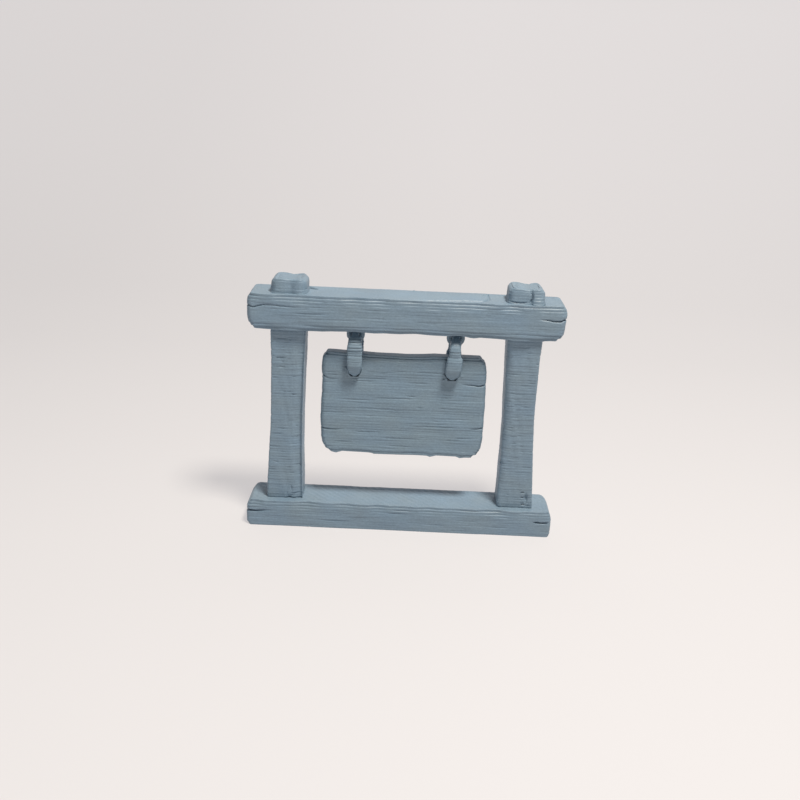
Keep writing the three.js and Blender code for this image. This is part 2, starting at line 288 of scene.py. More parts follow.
def printed_stack(name, shape, levels, grid, finish, seed, material, marks=(), caps=(), warps=()):
    """A closed piece printed in level layers. shape(z) gives the ring of plan points at a height,
    marks are cracks and scars in the wall, caps give the relief of the top face, and warps raise
    or lower points by their place."""
    columns, rows, step = grid
    rng = np.random.default_rng(seed)
    spans = layer_spans(levels)
    count = 2 * (columns + rows)
    length = count * step
    long_hills, short_hills = STRAY_HILLS
    stray = finish.wander * (ring_noise(rng, len(spans), count, length / long_hills)
                             + 0.5 * ring_noise(rng, len(spans), count, length / short_hills))
    seams = finish.seam * (1 + 0.5 * ring_noise(rng, len(spans) + 1, count, length / SEAM_HILLS))
    seams = seams + finish.stretches(rng, len(spans) + 1, count, step)
    seams[:-1][spans[:, 0] > finish.calm_from] *= CALM
    edge_count, edge_depth = finish.edge
    near_top = slice(len(seams) - 1 - edge_count, len(seams) - 1)
    edge_noise = ring_noise(rng, edge_count, count, length / EDGE_HILLS)
    seams[near_top] += edge_depth * (1 + 0.6 * edge_noise)
    rings, heights = [], []
    for k, (low, high) in enumerate(spans):
        level_ring = shape((low + high) / 2)
        facing = np.abs(outward(level_ring)[:, 1:])
        stepped = finish.stepped * (0.15 + 0.85 * facing)
        for share, recess in BEAD:
            z = low + share * (high - low)
            ring = stepped * level_ring + (1 - stepped) * shape(z)
            out = outward(ring)
            inset = recess * (seams[k] if share < 0.5 else seams[k + 1]) - stray[k]
            inset = inset + mark_depth(marks, ring, out, z)
            rings.append(ring - out * inset[:, None])
            heights.append(z)
    heights[0] = levels[0]
    heights[-1] = levels[-1] - RIM_DROP
    wall = np.concatenate([np.column_stack([ring, np.full(count, z)])
                           for ring, z in zip(rings, heights)])
    numbers = np.arange(len(wall)).reshape(len(rings), count)
    faces = [grid_faces(np.column_stack([numbers, numbers[:, 0]]))]
    points = [wall]
    for ring, z, start, face_up in ((rings[0], levels[0], 0, False),
                                    (rings[-1], levels[-1], numbers[-1, 0], True)):
        cells = cap_grid(columns, rows, start, sum(len(p) for p in points))
        inside = cap_inside(ring, cells - start)
        relief = sum(cap(inside) for cap in caps if face_up)
        points.append(np.column_stack([inside, np.full(len(inside), z) + relief]))
        faces.append(grid_faces(cells if face_up else cells[:, ::-1]))
    points = np.concatenate(points)
    for warp in warps:
        points[:, 2] += warp(points)
    return mesh_piece(name, points, np.concatenate(faces).tolist(), material)


def worn_edge(below, width, height):
    """How far a worn edge lies inside the wall, at a distance below the edge."""
    return width * np.clip(1 - below / height, 0, 1) ** 1.5


def grid_of(low, high, step):
    """Columns and rows of the grid over a box, and the distance between its points."""
    return round((high[0] - low[0]) / step), round((high[1] - low[1]) / step), step


def crack(line, half, depth, end=None, fade=0.7):
    """A crack in the front along a line of x and height, with its half width and depth. One with
    an end opens at the end of the piece, goes round the corner with that share of its depth, and
    fades along its run by the power fade."""
    return {"line": np.array(line, float), "half": half, "depth": depth, "end": end, "fade": fade}


def dent(x, height, half_width, half_height, depth):
    """A dent in the front, or a swelling where the depth is below 0."""
    return {"dent": (x, height, half_width, half_height), "depth": depth}


def mark_depth(marks, ring, out, z):
    """Depth of the cracks and dents at each point of a ring."""
    depth = np.zeros(len(ring))
    x = ring[:, 0]
    back = out[:, 1] > FACING
    for mark in marks:
        if "dent" in mark:
            middle, height, half_width, half_height = mark["dent"]
            near = bump(np.hypot((x - middle) / half_width, (z - height) / half_height), 1)
            depth = depth + mark["depth"] * near * (out[:, 1] < -FACING)
            continue
        line = mark["line"]
        if abs(z - line[:, 1].mean()) > np.ptp(line[:, 1]) + 2 * mark["half"]:
            continue
        run = (x - line[0, 0]) / (line[-1, 0] - line[0, 0])
        if mark["end"] is None:
            taper = np.clip(np.minimum(run / 0.2, (1 - run) / 0.3), 0, 1) * ~back
        else:
            run = np.where(back, run / BACK_RUN, run)
            taper = np.where(run < 0, 1, np.clip(1 - run, 0, 1) ** mark["fade"])
            taper = taper * np.where(np.abs(out[:, 0]) > 0.9, mark["end"], 1)
        order = np.argsort(line[:, 0])
        middle = np.interp(x, line[order, 0], line[order, 1])
        depth = np.maximum(depth, mark["depth"] * taper * bump(z - middle, mark["half"]))
    return depth


def terraces(z, top, widths, where, seed):
    """How far each of the top layers lies inside the wall. The first width is the top layer's."""
    inset = 0
    for k, (width, swing) in enumerate(widths):
        share = np.clip((z - top) / LAYER + k + 1, 0, 1)
        wave = slow_wave(where, 4.4 - 0.7 * k, seed + k)
        inset = inset + share * np.clip(width + swing * wave, 0, 1)
    return inset


def round_over(below, radius):
    """How far a rounded top edge lies inside the wall, at a distance below the top."""
    left = np.clip(radius - below, 0, radius)
    return radius - np.sqrt(radius * radius - left * left)


def tapered_plan(places, low, high, radius, ends, z):
    """A piece's plan at a height, where its ends follow their shares."""
    share = (z - low[2]) / (high[2] - low[2])
    left, right = (look_up(shares, share) for shares in ends)
    return rounded_plan(places, (low[0] + left, low[1]), (high[0] - right, high[1]), radius)


def bar_shape(low, high, grid, radius, ends, steps, droop, seed):
    """Ring of a rough-timber bar at a height. steps holds the width of each terrace under the
    top edge and its swing, and droop the width and height of the worn lower edge."""
    places = ring_places(*grid[:2])

    def shape(z):
        ring = tapered_plan(places, low, high, radius, ends, z)
        out = outward(ring)
        side = np.abs(out[:, 1])
        where = ring[:, 0] + BACK_AWAY * (ring[:, 1] > 0)
        width = droop[0] * (1 + 0.5 * slow_wave(where, 5.2, seed + 5))
        inset = side * worn_edge(z - low[2], width, droop[1])
        facing = np.where(ring[:, 1] < 0, 0.25 + 0.75 * side, 0.25)
        inset = inset + facing * terraces(z, high[2], steps, where, seed)
        inset = inset + 0.012 * side * slow_wave(where + 3 * z, 9, seed + 3)
        return ring - out * inset[:, None]

    return shape


def raster(pitch, height, slant):
    """Relief of the diagonal lines on a level face, fainter in places."""
    def relief(points):
        across = (points[:, 0] * slant + points[:, 1]) / math.sqrt(1 + slant * slant)
        clear = 0.65 + 0.35 * slow_wave(points[:, 0] - 2 * points[:, 1], 4.3, 83)
        return height * clear * (np.cos(2 * math.pi * across / pitch) - 1) / 2
    return relief


def spots(places):
    """Relief of single specks and dents, each x, y, reach and height."""
    def relief(points):
        total = np.zeros(len(points))
        for x, y, reach, height in places:
            total += height * bump(np.hypot(points[:, 0] - x, points[:, 1] - y), reach)
        return total
    return relief


def scratch(points_of_line, half, depth):
    """Relief of a crack along a short line in plan."""
    ends = np.array(points_of_line, float)

    def relief(points):
        nearest = np.full(len(points), np.inf)
        for a, b in zip(ends, ends[1:]):
            way = b - a
            run = np.clip(((points[:, :2] - a) @ way) / (way @ way), 0, 1)
            gap = np.linalg.norm(points[:, :2] - a - run[:, None] * way, axis=1)
            nearest = np.minimum(nearest, gap)
        return -depth * bump(nearest, half)
    return relief


def rim_lines(low, high, lower_line, lower_reach, upper_line=((0, 0),), upper_reach=1.0):
    """Warps the lower and upper rims of a piece along X by lines of x and height."""
    def warp(points):
        x, _, z = points.T
        lower = soft_step((low + lower_reach - z) / lower_reach)
        upper = soft_step((z - high + upper_reach) / upper_reach)
        return lower * look_up(lower_line, x) + upper * look_up(upper_line, x)
    return warp


# Materials
def new_material(name, **values):
    """A material, its nodes, its way to link them, and its shader with the given values."""
    material = bpy.data.materials.new(name)
    material.use_nodes = True
    nodes, link_up = material.node_tree.nodes, material.node_tree.links.new
    shader = nodes["Principled BSDF"]
    for socket, value in values.items():
        shader.inputs[socket.replace("_", " ")].default_value = value
    return material, nodes, link_up, shader


def mapped(nodes, link_up, value, source, result):
    """A value brought from a source range to a result range."""
    reach = nodes.new("ShaderNodeMapRange")
    for socket, number in zip(("From Min", "From Max", "To Min", "To Max"), (*source, *result)):
        reach.inputs[socket].default_value = number
    link_up(value, reach.inputs["Value"])
    return reach.outputs["Result"]


def product(nodes, link_up, first, second):
    times = nodes.new("ShaderNodeMath")
    times.operation = "MULTIPLY"
    link_up(first, times.inputs[0])
    link_up(second, times.inputs[1])
    return times.outputs["Value"]


def plastic(name, colour, warm, seed):
    """Satin printed plastic: faint drifts towards the warm colour, streaks along the layers and
    fine grain."""
    material, nodes, link_up, shader = new_material(name, IOR=1.46, Specular_IOR_Level=0.7)
    place = nodes.new("ShaderNodeTexCoord")

    def noise(detail, size):
        stretch = nodes.new("ShaderNodeMapping")
        stretch.inputs["Location"].default_value = (seed, 2 * seed, 3 * seed)
        stretch.inputs["Scale"].default_value = [1 / (MM * s) for s in size]
        texture = nodes.new("ShaderNodeTexNoise")
        texture.inputs["Scale"].default_value = 1.0
        texture.inputs["Detail"].default_value = detail
        link_up(place.outputs["Object"], stretch.inputs["Vector"])
        link_up(stretch.outputs["Vector"], texture.inputs["Vector"])
        return texture.outputs["Fac"]

    def ranged(value, low, high):
        return mapped(nodes, link_up, value, (0.3, 0.7), (low, high))

    drift = noise(2.0, (2.4, 2.4, 1.6))
    streak = noise(3.0, (2.2, 2.2, 0.11))
    grain = noise(2.0, (0.13, 0.13, 0.09))
    tint = nodes.new("ShaderNodeMix")
    tint.data_type = "RGBA"
    tint.inputs["A"].default_value = (*colour, 1)
    tint.inputs["B"].default_value = (*warm, 1)
    link_up(ranged(drift, 0.0, 1.0), tint.inputs["Factor"])
    shade = nodes.new("ShaderNodeHueSaturation")
    link_up(tint.outputs["Result"], shade.inputs["Color"])
    mottle = product(nodes, link_up, ranged(streak, 0.93, 1.07), ranged(grain, 0.91, 1.09))
    link_up(mottle, shade.inputs["Value"])
    link_up(shade.outputs["Color"], shader.inputs["Base Color"])
    link_up(ranged(streak, 0.46, 0.56), shader.inputs["Roughness"])
    relief = nodes.new("ShaderNodeBump")
    relief.inputs["Strength"].default_value = 0.35
    relief.inputs["Distance"].default_value = 0.008 * MM
    link_up(grain, relief.inputs["Height"])
    link_up(relief.outputs["Normal"], shader.inputs["Normal"])
    return material


def paper(name, colour, painted_glow_colour, strengths):
    """Thin pale paper that glows with painted light, though it is no lamp. strengths holds
    distances to the back and how strongly it glows there, a painted brightening that also fills
    shadows on it.
    It glows a little weaker on the left, as painted shade."""
    material, nodes, link_up, shader = new_material(
        name, Roughness=0.9, Specular_IOR_Level=0.1, Base_Color=(*colour, 1),
        Emission_Color=(*painted_glow_colour, 1))
    place = nodes.new("ShaderNodeTexCoord")
    parts = nodes.new("ShaderNodeSeparateXYZ")
    link_up(place.outputs["Object"], parts.inputs["Vector"])
    nearest, farthest = strengths[0][0], strengths[-1][0]
    ramp = nodes.new("ShaderNodeValToRGB")
    stops = ramp.color_ramp.elements
    for distance, _ in strengths[1:-1]:
        stops.new((distance - nearest) / (farthest - nearest))
    for stop, (_, strength) in zip(stops, strengths):
        stop.color = (strength, strength, strength, 1)
    # Painted light: the paper glows more or less with its distance to the back
    back = mapped(nodes, link_up, parts.outputs["Y"], (nearest, farthest), (0, 1))
    link_up(back, ramp.inputs["Fac"])
    # Painted shade: the glowing is dimmed towards the left
    side = mapped(nodes, link_up, parts.outputs["X"], (-0.05, 0.01), (0.93, 1.0))
    painted_glow_strength = product(nodes, link_up, ramp.outputs["Color"], side)
    link_up(painted_glow_strength, shader.inputs["Emission Strength"])
    return material


TIMBER = plastic("timber_plastic", (0.179, 0.262, 0.346), (0.189, 0.262, 0.325), 3.1)
BOARD = plastic("board_plastic", (0.177, 0.259, 0.336), (0.188, 0.262, 0.320), 7.7)
HANGER = plastic("hanger_plastic", (0.177, 0.260, 0.338), (0.188, 0.262, 0.322), 11.3)


def place(piece, body, node, slot):
    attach(piece, body)
    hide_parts(node)
    return piece


# Base rail
def base_rail():
    grid = grid_of(BASE_LOW, BASE_HIGH, 0.09)
    marks = [
        crack([(-11.45, 1.2), (-11.0, 1.16), (-10.64, 1.19), (-10.2, 1.26), (-8.6, 1.3)],
              0.1, 0.5, 0.8, 3.0),
        crack([(11.42, 1.2), (10.9, 1.15), (10.2, 1.21)], 0.09, 0.34),
        crack([(-6.1, 0.62), (-3.4, 0.6)], 0.07, 0.05),
        crack([(-4.2, 0.95), (-2.3, 0.93)], 0.06, 0.04),
        crack([(0.4, 0.7), (1.9, 0.68)], 0.06, 0.04),
        crack([(-1.0, 1.42), (0.6, 1.42)], 0.06, 0.035),
    ]
    bar = bar_shape(BASE_LOW, BASE_HIGH, grid, 0.3, END_SHARES["base_rail"],
                    [(0.06, 0.09), (0.05, 0.07), (0.02, 0.05)], (0.05, 0.12), 21)

    def shape(z):
        """The bar with its rounder back corners."""
        ring = round_back(bar(z), -1, BASE_HIGH[1], 0.45, 0.6)
        return round_back(ring, 1, BASE_HIGH[1], 0.6, 0.85)

    def outer_line(points):
        """The groove inside the outermost line of the level top."""
        near_side = BASE_HIGH[1] - 0.12 - np.abs(points[:, 1])
        near_end = BASE_HIGH[0] - 0.2 - np.abs(points[:, 0])
        return -0.03 * bump(np.minimum(near_side, near_end) - 0.36, 0.1)

    caps = [raster(LINE_PITCH, 0.03, 1.0), outer_line,
            spots([(-10.35, 0.6, 0.2, -0.08), (-9.95, 0.25, 0.22, -0.06), (10.9, 0.3, 0.12, 0.07),
                   (-5.1, -0.75, 0.12, -0.05), (6.9, 0.3, 0.25, -0.05), (6.6, 0.7, 0.25, -0.05)])]
    rail = printed_stack("base_rail_print", shape, [BASE_LOW[2], BASE_HIGH[2]], grid,
                         Finish(0.004, 0.006, 0.14, 4.0, 0.032, edge=(2, 0.008)), 4, TIMBER,
                         marks, caps)
    return place(rail, "frame", "base_rail", "timber_plastic")


# Top beam
BEAM_UNDERSIDE = [(-10.8, 0.0), (-9.7, -0.04), (-7.5, -0.06), (-6.0, -0.06), (-5.4, -0.02),
                  (-4.0, 0.04), (-2.3, 0.0), (-1.6, 0.04), (-0.5, 0.0), (0.6, 0.07), (2.1, 0.02),
                  (2.8, 0.0), (3.9, 0.07), (4.5, -0.05), (4.8, -0.07), (5.2, 0.0), (6.3, -0.02),
                  (7.4, -0.05), (7.6, -0.09), (9.6, -0.11), (9.8, -0.06), (10.2, -0.03)]


def top_beam():
    grid = grid_of(BEAM_LOW, BEAM_HIGH, 0.065)
    marks = [
        crack([(-11.15, 17.18), (-10.95, 17.1), (-10.8, 17.12), (-10.5, 17.22), (-10.1, 17.3),
               (-9.3, 17.28), (-8.6, 17.22), (-7.6, 17.19)], 0.075, 0.16, 0.35),
        crack([(11.05, 17.09), (10.8, 16.98), (10.3, 16.97), (9.9, 17.05), (9.2, 17.08)],
              0.085, 0.22, 0.45, 0.8),
        crack([(-8.1, 16.77), (-5.1, 16.72)], 0.065, 0.05),
        crack([(-8.3, 16.02), (-6.8, 16.04)], 0.06, 0.04),
        crack([(-10.3, 15.76), (-7.5, 15.8)], 0.06, 0.04),
        crack([(0.2, 16.5), (3.1, 16.46)], 0.06, 0.035),
        crack([(5.4, 17.35), (8.6, 17.3)], 0.06, 0.04),
        crack([(-3.4, 17.2), (-0.9, 17.18)], 0.055, 0.03),
    ]
    shape = bar_shape(BEAM_LOW, BEAM_HIGH, grid, 0.42, END_SHARES["top_beam"],
                      [(0.07, 0.08), (0.05, 0.07), (0.02, 0.05)], (0.2, 0.45), 53)

    def last_layer(points):
        """The last layer's own edge, a groove round its right end and front."""
        x, y = points.T
        end, corner = 5.75, 0.7
        front = np.interp(x, [-1.0, 1.0, 4.3], [-1.6, -1.25, -0.75])
        across = np.clip(front + corner - y, 0, None)
        along = np.clip(x - end + corner, 0, None)
        inside = corner - np.hypot(along, across)
        groove = 0.17 * bump(inside, 0.11) * soft_step((x + 0.5) / 3)
        return -0.05 * (1 - soft_step(inside / 0.06)) - groove

    caps = [last_layer, raster(LINE_PITCH, 0.006, -1.0),
            scratch([(-7.3, 1.14), (-7.11, 0.98), (-6.94, 0.78), (-6.68, 0.62)], 0.17, 0.9),
            scratch([(-7.4, 1.2), (-7.05, 0.95)], 0.24, 0.7),
            spots([(0.39, 1.3, 0.12, 0.09), (5.46, 0.92, 0.16, 0.08), (-3.76, -0.17, 0.12, 0.03),
                   (10.8, 1.0, 0.5, 0.06), (-10.4, 0.2, 0.5, -0.03)])]
    warps = [rim_lines(BEAM_LOW[2], BEAM_HIGH[2], BEAM_UNDERSIDE, 0.6)]
    beam = printed_stack("top_beam_print", shape, [BEAM_LOW[2], BEAM_HIGH[2]], grid,
                         Finish(0.003, 0.005, 0.13, 4.0, 0.024, edge=(2, 0.008)), 5, TIMBER,
                         marks, caps, warps)
    return place(beam, "frame", "top_beam", "timber_plastic")


# Posts
def post(name, side, knob, edge_width, scars, seed):
    """A post from its stub tenon to its split knob. knob holds the knob's middle, where its
    groove lies as a share of the half width, the groove's half width and depth, the forward
    swell of the left and right halves at the top and at the foot, how sharply the halves end,
    how round the left and right top corners are, how much the top is lifted, and how deep it
    dips, and where. edge_width holds height shares and how wide the worn inner edge is."""
    low, high = POST_BOX[name]
    middle = side * (abs(high[0] if side < 0 else low[0]) + POST_HEAD_WIDTH / 2)
    depth = (high[1] - low[1]) / 2
    grid = grid_of((0, 0), (KNOB_WIDTH, KNOB_DEPTH), 0.062)
    places = ring_places(*grid[:2])
    rail_top, beam_under, beam_top = BASE_HIGH[2], BEAM_LOW[2], BEAM_HIGH[2]
    knob_foot = beam_top - KNOB_FOOT
    groove_x = knob["middle"] + knob["groove"] * KNOB_WIDTH / 2

    def sides_at(z):
        """Distances from the middle to the left and right sides."""
        share = (z - rail_top) / (beam_under - rail_top)
        outer, inner = (np.interp(share, POST_SHARES[:, 0], POST_SHARES[:, i])
                        * POST_HEAD_WIDTH / 2 for i in (1, 2))
        outer = outer + POST_OUTER[name] * bump(share - 0.6, 0.7)
        return (outer, inner) if side < 0 else (inner, outer)

    def knob_ring(z):
        share = np.clip((z - beam_top) / (high[2] - beam_top), 0, 1)
        half = KNOB_WIDTH / 2
        back_swell, foot_swell, foot_height = 0.08, 0.08, 0.4
        ring = rounded_plan(places, (knob["middle"] - half, -KNOB_DEPTH / 2),
                            (knob["middle"] + half, KNOB_DEPTH / 2), KNOB_CORNER)
        out = outward(ring)
        x, y = ring.T
        front = y < 0
        swell = np.zeros(len(ring))
        for start, end, (at_top, at_foot) in ((knob["middle"] - half, groove_x, knob["left"]),
                                              (groove_x, knob["middle"] + half, knob["right"])):
            centre, reach = (start + end) / 2, (end - start) / 2
            rise = np.clip(1 - ((x - centre) / reach) ** 2, 0, 1) ** knob["swell_power"]
            forward = at_foot + (at_top - at_foot) * soft_step(share * 1.4)
            swell += np.where(front, forward, back_swell) * rise
        wander = 0.05 * slow_wave(z + 0 * x, 1.1, seed + 8)
        cut = knob["depth"] * bump(x - groove_x - wander, knob["half"]) * np.where(front, 1, 0.4)
        around = np.arange(len(ring)) / len(ring) * KNOB_ROUND
        inset = terraces(z, high[2], KNOB_STEPS, around, seed)
        inset = inset * (0.55 + 0.45 * np.abs(out[:, 0]))
        corner = np.where(x < knob["middle"], *knob["corners"]) * np.abs(out[:, 0]) ** 0.7
        inset = inset + round_over(high[2] - z, corner + 0.05)
        inset = inset - foot_swell * bump(z - knob_foot, foot_height)
        return ring + out * ((swell - cut) * np.abs(out[:, 1]) - inset)[:, None]

    def plan(left, right, deep, corner):
        return rounded_plan(places, (middle - left, -deep), (middle + right, deep), corner)

    def shape(z):
        if z > knob_foot:
            return knob_ring(z)
        if z > beam_under:
            return plan(TENON_WIDTH / 2, TENON_WIDTH / 2, depth, TENON_CORNER)
        left, right = sides_at(max(z, rail_top))
        if z < rail_top:
            return plan(left - STUB_INSET, right - STUB_INSET, depth - STUB_INSET, STUB_CORNER)
        ring = plan(left, right, depth, POST_CORNER)
        out = outward(ring)
        x, y = ring.T
        share = (z - rail_top) / (beam_under - rail_top)
        width = look_up(edge_width, share)
        to_inner = right - (x - middle) if side < 0 else left + (x - middle)
        recess = look_up(POST_INNER_EDGE[name], to_inner / width) * min(width, 1)
        front = y < 0
        ring[:, 1] = np.where(front, np.maximum(y, recess - depth), y)
        ring[:, 1] -= POST_FLARE[name] * soft_step((share - 0.45) / 0.5) * front
        inset = 0.012 * slow_wave(z + 5 * np.arctan2(y, x - middle), 4.7, seed + 1)
        return ring - out * inset[:, None]

    def split_top(points):
        near = soft_step((points[:, 2] - high[2] + 0.45) / 0.4)
        lift = near * (knob["lift"] - knob["dip"] * bump(points[:, 0] - knob["dip_x"], 0.75))
        rim = bump(points[:, 2] - knob_foot - 0.1, 0.2) * (points[:, 1] < -KNOB_DEPTH / 2)
        hang = np.clip(-points[:, 1] - KNOB_DEPTH / 2 - 0.15, 0, 0.3)
        return lift - 0.5 * rim * hang

    def contour(points):
        """The line that the last layer's outer bead leaves on the knob's top."""
        share = np.abs(points - (knob["middle"], 0)) / (0.8, 0.84)
        return -0.06 * bump((share ** 4).sum(1) ** 0.25 - 1, 0.13)

    levels = [low[2], rail_top, beam_under, knob_foot, high[2]]
    piece = printed_stack(name + "_post_print", shape, levels, grid,
                          Finish(0.009, 0.006, 0.4, 1.1, 0.05, 0.5, knob_foot), seed, TIMBER,
                          scars, [contour], [split_top])
    return place(piece, "frame", name + "_post", "timber_plastic")


# Sign board
BOARD_CORNER = 0.38
BOARD_TOP_LINE = [(-5.6, 0.0), (-5.0, 0.0), (-3.0, -0.09), (0.0, -0.16), (1.3, -0.1),
                  (2.1, -0.02), (5.2, -0.03)]
BOARD_BOTTOM_LINE = [(-5.3, -0.02), (-4.95, -0.1), (-4.5, 0.05), (-2.6, 0.03), (-2.25, 0.0),
                     (-2.1, -0.07), (-0.1, -0.05), (1.0, -0.02), (1.9, -0.03), (2.15, -0.12),
                     (2.6, 0.02), (4.1, 0.0), (4.4, -0.12), (4.7, -0.06), (5.2, -0.05)]


def board_holes(board):
    """Cuts the hole for each link: a ring sector about the middle of the link's lower bend, wide
    enough for the board to rock."""
    play, rocking = 0.016, math.radians(12)
    turns = np.radians(np.linspace(-48, 48, 25))
    widest = np.minimum(np.abs(turns) + rocking, math.pi / 2)
    for name, shares in LINK_SHARES.items():
        low, high = LINK_BOX[name]
        middle, outer = (low[0] + high[0]) / 2, (high[1] - low[1]) / 2
        centre = low[2] + outer
        inner = outer - LINK_THICKNESS

        def corner_line(side, radius, spare):
            share = (high[2] - centre + radius * np.cos(widest)) / (high[2] - low[2])
            half = LINK_HALF_WIDTH * look_up(shares, share) + play
            shift = look_up(LINK_LEAN[name], share)
            return np.column_stack([middle + shift + side * half, (radius + spare) * np.sin(turns),
                                    centre - (radius + spare) * np.cos(turns)])

        rows = list(zip(np.linspace(inner, outer, 7), (-play, 0, 0, 0, 0, 0, play)))
        section = [corner_line(1, radius, spare) for radius, spare in rows]
        section += [corner_line(-1, radius, spare) for radius, spare in reversed(rows)]
        points = np.stack(section, 1).reshape(-1, 3)
        cells = np.arange(len(points)).reshape(-1, len(section))
        walls = grid_faces(np.column_stack([cells, cells[:, 0]]))
        mesh = bpy.data.meshes.new("hole")
        mesh.from_pydata((points * MM).tolist(), [],
                         walls.tolist() + [cells[0, ::-1].tolist(), cells[-1].tolist()])
        cutter = new_object("hole", mesh)
        cut = board.modifiers.new("hole", "BOOLEAN")
        cut.operation = "DIFFERENCE"
        cut.solver = "EXACT"
        cut.object = cutter
        bpy.context.view_layer.update()
        whole = bpy.data.meshes.new_from_object(
            board.evaluated_get(bpy.context.evaluated_depsgraph_get()))
        board.modifiers.clear()
        board.data = whole
        bpy.data.objects.remove(cutter)


def sign_board():
    grid = grid_of(BOARD_LOW, BOARD_HIGH, 0.08)
    places = ring_places(*grid[:2])
    marks = [
        crack([(-6.05, 11.92), (-5.8, 11.82), (-5.6, 11.7), (-5.0, 11.69), (-4.6, 11.72)],
              0.075, 0.12, 0.3),
        crack([(-6.1, 7.76), (-5.7, 7.73), (-5.1, 7.69), (-4.4, 7.77)], 0.075, 0.2, 0.3),
        crack([(6.0, 11.66), (5.45, 11.57), (4.9, 11.63), (4.1, 11.66)], 0.08, 0.2, 0.35),
        crack([(6.05, 8.24), (5.5, 8.2), (4.9, 8.13)], 0.07, 0.14, 0.3),
        crack([(-3.3, 12.4), (-2.2, 12.33), (0.0, 12.36)], 0.06, 0.045),
        crack([(-6.3, 13.36), (0.0, 13.35), (6.2, 13.36)], 0.1, 0.05),
        crack([(-2.3, 9.42), (0.3, 9.4)], 0.06, 0.04),
        crack([(-0.5, 7.3), (2.4, 7.32)], 0.055, 0.035),
        crack([(2.0, 10.9), (4.6, 10.86)], 0.055, 0.035),
    ]
    blobs = [(-4.36, 12.62, 0.14, 0.14), (-4.42, 12.3, 0.13, 0.14), (-4.32, 12.02, 0.15, 0.15),
             (2.78, 12.25, 0.14, 0.14), (2.86, 11.98, 0.15, 0.14), (4.15, 12.4, 0.12, 0.1),
             (4.64, 6.15, 0.3, 0.05)]

    def shape(z):
        ring = tapered_plan(places, BOARD_LOW, BOARD_HIGH, BOARD_CORNER,
                            END_SHARES["sign_board"], z)
        out = outward(ring)
        where = ring[:, 0] + BACK_AWAY * (ring[:, 1] > 0)
        inset = 0.012 * slow_wave(where + 2 * z, 8, 71) + 0.015 * slow_wave(z + 0 * where, 2.1, 72)
        inset = inset + worn_edge(z - BOARD_LOW[2], 0.1, 0.25)
        inset = inset + terraces(z, BOARD_HIGH[2], [(0.1, 0.04), (0.06, 0.04)], where, 73)
        for x, height, reach, swell in blobs:
            near = bump(np.hypot(ring[:, 0] - x, z - height), reach)
            inset = inset - swell * near * (ring[:, 1] < 0)
        return ring - out * inset[:, None]

    rims = rim_lines(BOARD_LOW[2], BOARD_HIGH[2], BOARD_BOTTOM_LINE, 0.6, BOARD_TOP_LINE, 1.4)
    board = printed_stack("sign_board_print", shape, [BOARD_LOW[2], BOARD_HIGH[2]], grid,
                          Finish(0.005, 0.005, 0.22, 3.0, 0.05, edge=(1, 0.05)), 6, BOARD,
                          marks, [], [rims])
    board_holes(board)
    return place(board, "board", "sign_board", "board_plastic")


# Links
LINK_THICKNESS = 0.45
LINK_HALF_WIDTH = 0.56
STAPLE_WIRE = 0.35
EYE_PLAY = 0.05
# Height share from the top bend down, then the half width as a share of the widest
LINK_SHARES = {
    "left": [
        [0.0, 0.52], [0.045, 0.52], [0.07, 0.77], [0.12, 0.82], [0.22, 0.9], [0.3, 0.98],
        [0.34, 1.0], [0.6, 1.0], [0.67, 0.97], [0.72, 0.94], [0.76, 0.91], [0.8, 0.87],
        [0.84, 0.81], [0.87, 0.73], [0.892, 0.64], [0.91, 0.55], [0.93, 0.45], [0.95, 0.4],
        [1.0, 0.4],
    ],
    "right": [
        [0.0, 0.57], [0.045, 0.57], [0.07, 0.68], [0.12, 0.72], [0.2, 0.72], [0.25, 0.74],
        [0.36, 0.76], [0.42, 0.84], [0.47, 1.0], [0.55, 1.05], [0.7, 1.04], [0.75, 1.01],
        [0.8, 0.96], [0.84, 0.89], [0.87, 0.8], [0.892, 0.69], [0.91, 0.58], [0.93, 0.47],
        [0.95, 0.42], [1.0, 0.42],
    ],
}
# The same, then how far the strap's middle stands to the right
LINK_LEAN = {
    "left": [[0.0, 0.0], [1.0, 0.0]],
    "right": [[0.0, 0.0], [0.15, 0.0], [0.2, -0.04], [0.5, -0.02], [0.78, -0.12], [1.0, -0.12]],
}
# The same, then how far the front stands out
LINK_BULGE = {
    "left": [[0.1, 0.0], [0.17, 0.09], [0.3, 0.05], [0.46, 0.0], [0.54, 0.03], [0.66, 0.02],
             [0.76, 0.0]],
    "right": [[0.08, 0.0], [0.13, 0.08], [0.17, 0.15], [0.22, 0.15], [0.3, 0.1], [0.43, 0.03],
              [0.5, 0.1], [0.6, 0.08], [0.72, 0.04], [0.82, 0.0]],
}
# Depth of the seams between a link's layers
LINK_RIPPLE = {"left": 0.025, "right": 0.015}
# Deep seams across the front: height, half height and depth
LINK_SEAMS = {
    "left": [(14.68, 0.05, 0.07), (14.27, 0.04, 0.05), (14.02, 0.05, 0.06), (13.7, 0.04, 0.05),
             (13.38, 0.04, 0.04)],
    "right": [(14.28, 0.06, 0.06), (13.9, 0.04, 0.03)],
}
# Specks on the front: x, height, reach and how far they stand out
LINK_SPECKS = {
    "left": [(-3.36, 15.12, 0.15, 0.12), (-3.6, 12.85, 0.1, 0.03)],
    "right": [(3.3, 12.75, 0.12, 0.04), (3.62, 13.15, 0.14, 0.03)],
}


def straight(start, end, count):
    """Points from start to just before the end."""
    start, end = np.array(start), np.array(end)
    return start + (end - start) * np.linspace(0, 1, count, endpoint=False)[:, None]


def arc(centre, radius, first, last, count):
    """Points from the first angle to just before the last one."""
    turn = np.linspace(first, last, count, endpoint=False)
    return np.array(centre) + radius * np.column_stack([np.cos(turn), np.sin(turn)])


def wire_section(around, power):
    """Cosines and sines of the points round a section between a circle and a square."""
    turn = np.arange(around) / around * 2 * math.pi
    return [np.sign(wave) * np.abs(wave) ** power for wave in (np.cos(turn), np.sin(turn))]


